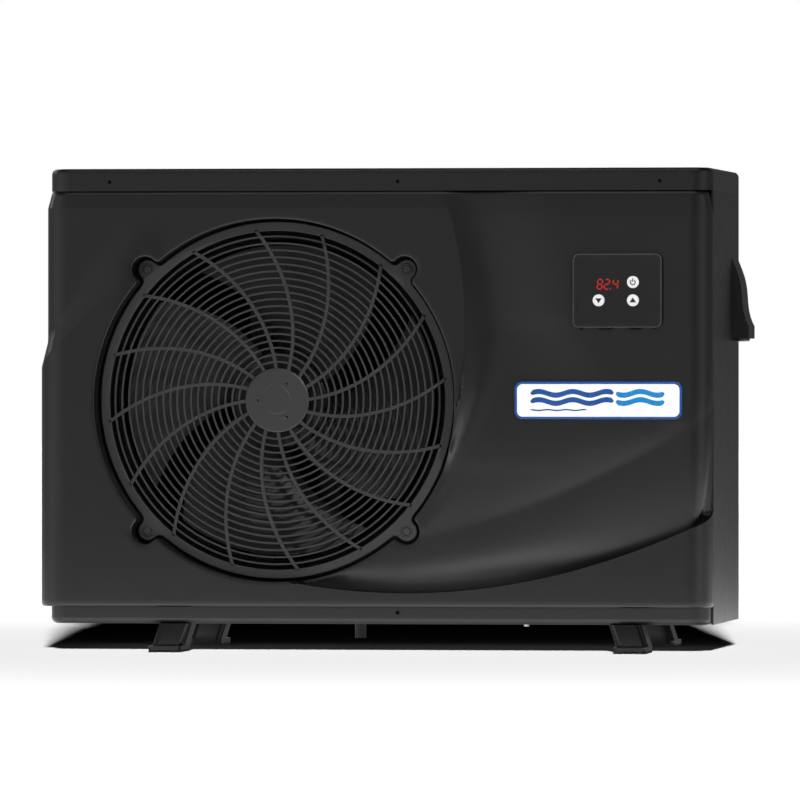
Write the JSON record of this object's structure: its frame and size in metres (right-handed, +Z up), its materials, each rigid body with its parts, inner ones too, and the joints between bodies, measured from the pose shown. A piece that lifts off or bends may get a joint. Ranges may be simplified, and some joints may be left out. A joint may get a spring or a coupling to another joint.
{
  "type": "pool heat pump unit",
  "caption": "Outdoor pool and spa heat pump: a low wide case with a round fan grille, front controls, side cable hood, rear water unions and splayed feet.",
  "frame": {"origin": "on the ground, in the middle of the four anchor holes in the feet", "axes": "+X to the right seen from the front, +Y to the back, +Z up"},
  "size_m": [0.9835, 0.511, 0.684],
  "materials": {
    "casing": "moulded, fine satin texture",
    "sheet_metal": "powder coat",
    "guard": "moulded",
    "fan_grille": "moulded",
    "foot": "gloss black",
    "rubber": "matte",
    "screw": "blackened",
    "zinc": "zinc plated",
    "steel": "machined",
    "bezel": "gloss",
    "window": "gloss",
    "display": "smoked",
    "button": "satin white",
    "badge": "gloss",
    "fan": "moulded",
    "motor": "enamel",
    "galvanised": "galvanised",
    "fins": "blue hydrophilic coat",
    "copper": "copper tube",
    "compressor": "enamel",
    "vessel": "moulded",
    "union": "moulded",
    "circuit": "solder mask",
    "capacitor": "drawn can",
    "box": "galvanised sheet"
  },
  "bodies": {
    "casing": {"accumulator": "compressor", "badge_plate": "badge", "base_pan": "sheet_metal", "button_membrane": "rubber", "cable_gland_power": "union", "cable_gland_signal": "union", "capacitor": "capacitor", "case_screws": "screw", "circuit_board": "circuit", "coil_end_plates": "galvanised", "compressor": "compressor", "compressor_grommets": "rubber", "control_bezel": "bezel", "control_window": "window", "corner_post": "sheet_metal", "display_module": "display", "drain_nozzle": "union", "electrical_box": "box", "evaporator_fins": "fins", "evaporator_tubes": "copper", "exchanger_straps": "zinc", "exchanger_vessel": "vessel", "expansion_valve": "copper", "fan_grille": "fan_grille", "fan_motor": "motor", "fan_shroud": "guard", "flow_switch": "union", "foot_front_left": "foot", "foot_front_right": "foot", "foot_pads": "rubber", "foot_rear_left": "foot", "foot_rear_right": "foot", "front_panel": "casing", "gland_plate": "galvanised", "grille_screws": "screw", "hood_screws": "screw", "left_grille": "guard", "lid": "casing", "motor_bracket": "galvanised", "motor_screws": "zinc", "pan_bolts": "zinc", "partition_wall": "galvanised", "rear_grille": "guard", "rear_panel": "sheet_metal", "refrigerant_pipes": "copper", "reversing_valve": "steel", "right_side_panel": "sheet_metal", "side_hood": "casing", "union_seals": "rubber", "union_tails": "union", "water_inlet": "union", "water_outlet": "union"},
    "fan": {"fan_blade": "fan", "fan_nut": "zinc", "motor_shaft": "steel"},
    "power_key": {"power_button": "button"},
    "up_key": {"up_button": "button"},
    "down_key": {"down_button": "button"},
    "inlet_nut": {"union_nut_inlet": "union"},
    "outlet_nut": {"union_nut_outlet": "union"}
  },
  "joints": [
    {"name": "fan_spin", "type": "hinge", "parent": "casing", "child": "fan", "pos_m": [-0.177, -0.13, 0.356], "axis": [0, 1, 0], "continuous": true},
    {"name": "power_press", "type": "slide", "parent": "casing", "child": "power_key", "axis": [0, 1, 0], "range_m": [0, 0.001], "stiffness_N_per_m": 400},
    {"name": "up_press", "type": "slide", "parent": "casing", "child": "up_key", "axis": [0, 1, 0], "range_m": [0, 0.001], "stiffness_N_per_m": 400},
    {"name": "down_press", "type": "slide", "parent": "casing", "child": "down_key", "axis": [0, 1, 0], "range_m": [0, 0.001], "stiffness_N_per_m": 400},
    {"name": "inlet_nut_turn", "type": "hinge", "parent": "casing", "child": "inlet_nut", "pos_m": [0.33, 0.235, 0.18], "axis": [0, 1, 0], "continuous": true},
    {"name": "outlet_nut_turn", "type": "hinge", "parent": "casing", "child": "outlet_nut", "pos_m": [0.33, 0.235, 0.3], "axis": [0, 1, 0], "continuous": true}
  ]
}
